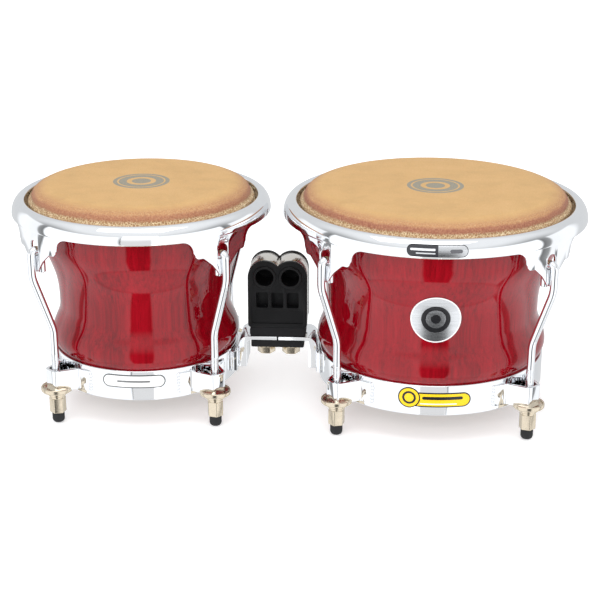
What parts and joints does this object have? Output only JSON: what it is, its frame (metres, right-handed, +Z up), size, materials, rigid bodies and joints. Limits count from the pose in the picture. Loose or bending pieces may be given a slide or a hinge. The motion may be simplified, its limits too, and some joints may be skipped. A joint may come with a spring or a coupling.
{
  "type": "bongo drums",
  "caption": "Pair of bongo drums: waisted red wooden shells of two sizes, wrapped skins, hook-tuned pressed rims and a centre bracket block.",
  "frame": {"origin": "on the floor under the middle of the pair's bounding box", "axes": "+X across the pair from the small drum to the large drum, -Y towards the labelled front, +Z up"},
  "size_m": [0.4538, 0.2389, 0.1812],
  "materials": {
    "red_lacquer_wood": "deep red stain under high-gloss lacquer",
    "skin": "natural hide, matt",
    "wrapped_hoop": "steel ring wrapped in hide",
    "chrome": "polished chrome plate",
    "warm_nickel": "warm nickel plate",
    "zinc_steel": "zinc plated",
    "black_plastic": "satin moulded",
    "black_rubber": "matt",
    "badge_metal": "brushed disc with a dark border",
    "yellow_label": "gloss foil with a dark border",
    "white_label": "gloss foil with a dark border"
  },
  "bodies": {
    "shells_and_bracket": {"small_shell": "red_lacquer_wood", "small_hoop": "chrome", "small_skin": "skin", "small_arm": "chrome", "small_clip": "chrome", "small_screws": "zinc_steel", "small_washer_1": "warm_nickel", "small_washer_2": "warm_nickel", "small_washer_3": "warm_nickel", "small_washer_4": "warm_nickel", "large_shell": "red_lacquer_wood", "large_hoop": "chrome", "large_skin": "skin", "large_arm": "chrome", "large_clip": "chrome", "large_screws": "zinc_steel", "large_washer_1": "warm_nickel", "large_washer_2": "warm_nickel", "large_washer_3": "warm_nickel", "large_washer_4": "warm_nickel", "block": "black_plastic", "block_strap": "chrome", "block_pad": "black_plastic", "clamp_plate": "black_plastic", "clamp_bolts": "warm_nickel", "clamp_nuts": "zinc_steel", "shell_badge": "badge_metal", "large_hoop_label": "yellow_label", "small_hoop_label": "white_label"},
    "small_tension_ring": {"small_rim": "chrome", "small_flesh_hoop": "wrapped_hoop", "small_hook_1": "chrome", "small_hook_2": "chrome", "small_hook_3": "chrome", "small_hook_4": "chrome", "small_foot_1": "black_rubber", "small_foot_2": "black_rubber", "small_foot_3": "black_rubber", "small_foot_4": "black_rubber"},
    "large_tension_ring": {"large_rim": "chrome", "large_flesh_hoop": "wrapped_hoop", "large_hook_1": "chrome", "large_hook_2": "chrome", "large_hook_3": "chrome", "large_hook_4": "chrome", "large_foot_1": "black_rubber", "large_foot_2": "black_rubber", "large_foot_3": "black_rubber", "large_foot_4": "black_rubber", "rim_badge": "badge_metal"},
    "small_nut_1_body": {"small_nut_1": "warm_nickel"},
    "small_nut_2_body": {"small_nut_2": "warm_nickel"},
    "small_nut_3_body": {"small_nut_3": "warm_nickel"},
    "small_nut_4_body": {"small_nut_4": "warm_nickel"},
    "large_nut_1_body": {"large_nut_1": "warm_nickel"},
    "large_nut_2_body": {"large_nut_2": "warm_nickel"},
    "large_nut_3_body": {"large_nut_3": "warm_nickel"},
    "large_nut_4_body": {"large_nut_4": "warm_nickel"}
  },
  "joints": [
    {"name": "small_tension", "type": "slide", "parent": "shells_and_bracket", "child": "small_tension_ring", "axis": [0, 0, -1], "range_m": [0, 0.002]},
    {"name": "large_tension", "type": "slide", "parent": "shells_and_bracket", "child": "large_tension_ring", "axis": [0, 0, -1], "range_m": [0, 0.002]},
    {"name": "small_nut_1_turn", "type": "hinge", "parent": "shells_and_bracket", "child": "small_nut_1_body", "pos_m": [-0.18698, -0.06258, 0.0159], "axis": [0, 0, 1], "range_deg": [0, 720]},
    {"name": "small_nut_2_turn", "type": "hinge", "parent": "shells_and_bracket", "child": "small_nut_2_body", "pos_m": [-0.06182, -0.06258, 0.0159], "axis": [0, 0, 1], "range_deg": [0, 720]},
    {"name": "small_nut_3_turn", "type": "hinge", "parent": "shells_and_bracket", "child": "small_nut_3_body", "pos_m": [-0.06182, 0.06258, 0.0159], "axis": [0, 0, 1], "range_deg": [0, 720]},
    {"name": "small_nut_4_turn", "type": "hinge", "parent": "shells_and_bracket", "child": "small_nut_4_body", "pos_m": [-0.18698, 0.06258, 0.0159], "axis": [0, 0, 1], "range_deg": [0, 720]},
    {"name": "large_nut_1_turn", "type": "hinge", "parent": "shells_and_bracket", "child": "large_nut_1_body", "pos_m": [0.03385, -0.07375, 0.0159], "axis": [0, 0, 1], "range_deg": [0, 720]},
    {"name": "large_nut_2_turn", "type": "hinge", "parent": "shells_and_bracket", "child": "large_nut_2_body", "pos_m": [0.18135, -0.07375, 0.0159], "axis": [0, 0, 1], "range_deg": [0, 720]},
    {"name": "large_nut_3_turn", "type": "hinge", "parent": "shells_and_bracket", "child": "large_nut_3_body", "pos_m": [0.18135, 0.07375, 0.0159], "axis": [0, 0, 1], "range_deg": [0, 720]},
    {"name": "large_nut_4_turn", "type": "hinge", "parent": "shells_and_bracket", "child": "large_nut_4_body", "pos_m": [0.03385, 0.07375, 0.0159], "axis": [0, 0, 1], "range_deg": [0, 720]}
  ],
  "couplings": [
    {"joint": "small_nut_1_turn", "follows": "small_tension", "rad_per_m": 6283.2},
    {"joint": "small_nut_2_turn", "follows": "small_tension", "rad_per_m": 6283.2},
    {"joint": "small_nut_3_turn", "follows": "small_tension", "rad_per_m": 6283.2},
    {"joint": "small_nut_4_turn", "follows": "small_tension", "rad_per_m": 6283.2},
    {"joint": "large_nut_1_turn", "follows": "large_tension", "rad_per_m": 6283.2},
    {"joint": "large_nut_2_turn", "follows": "large_tension", "rad_per_m": 6283.2},
    {"joint": "large_nut_3_turn", "follows": "large_tension", "rad_per_m": 6283.2},
    {"joint": "large_nut_4_turn", "follows": "large_tension", "rad_per_m": 6283.2}
  ]
}
